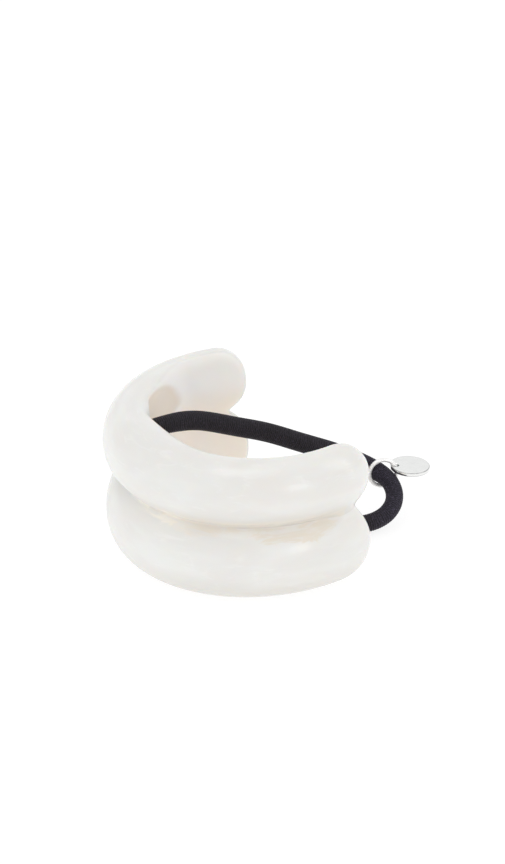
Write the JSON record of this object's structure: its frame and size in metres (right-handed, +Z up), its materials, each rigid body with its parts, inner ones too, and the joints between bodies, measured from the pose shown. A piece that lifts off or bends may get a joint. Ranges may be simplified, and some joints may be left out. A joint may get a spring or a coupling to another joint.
{
  "type": "ponytail cuff",
  "caption": "Open C-shaped hair cuff of stacked half-round pearl-white resin lobes, with a black elastic loop for the ponytail and a blank round metal tag.",
  "frame": {"origin": "on the axis of the C-shaped cuff, on the surface that its lower edge lies on", "axes": "+Z up along the cuff's axis, the way a ponytail passes through; the decorative middle faces -Y and the opening faces +Y; +X to the right"},
  "size_m": [0.0662, 0.0732, 0.0334],
  "materials": {
    "resin": "glossy pearl-white cast resin, cloudy and slightly translucent",
    "elastic": "black fine-ribbed knitted elastic",
    "ring_metal": "polished silver-coloured wire",
    "tag_metal": "polished silver-coloured blank disc"
  },
  "bodies": {
    "root": {"cuff": "resin", "elastic": "elastic", "jump_ring": "ring_metal", "tag": "tag_metal"}
  },
  "joints": []
}
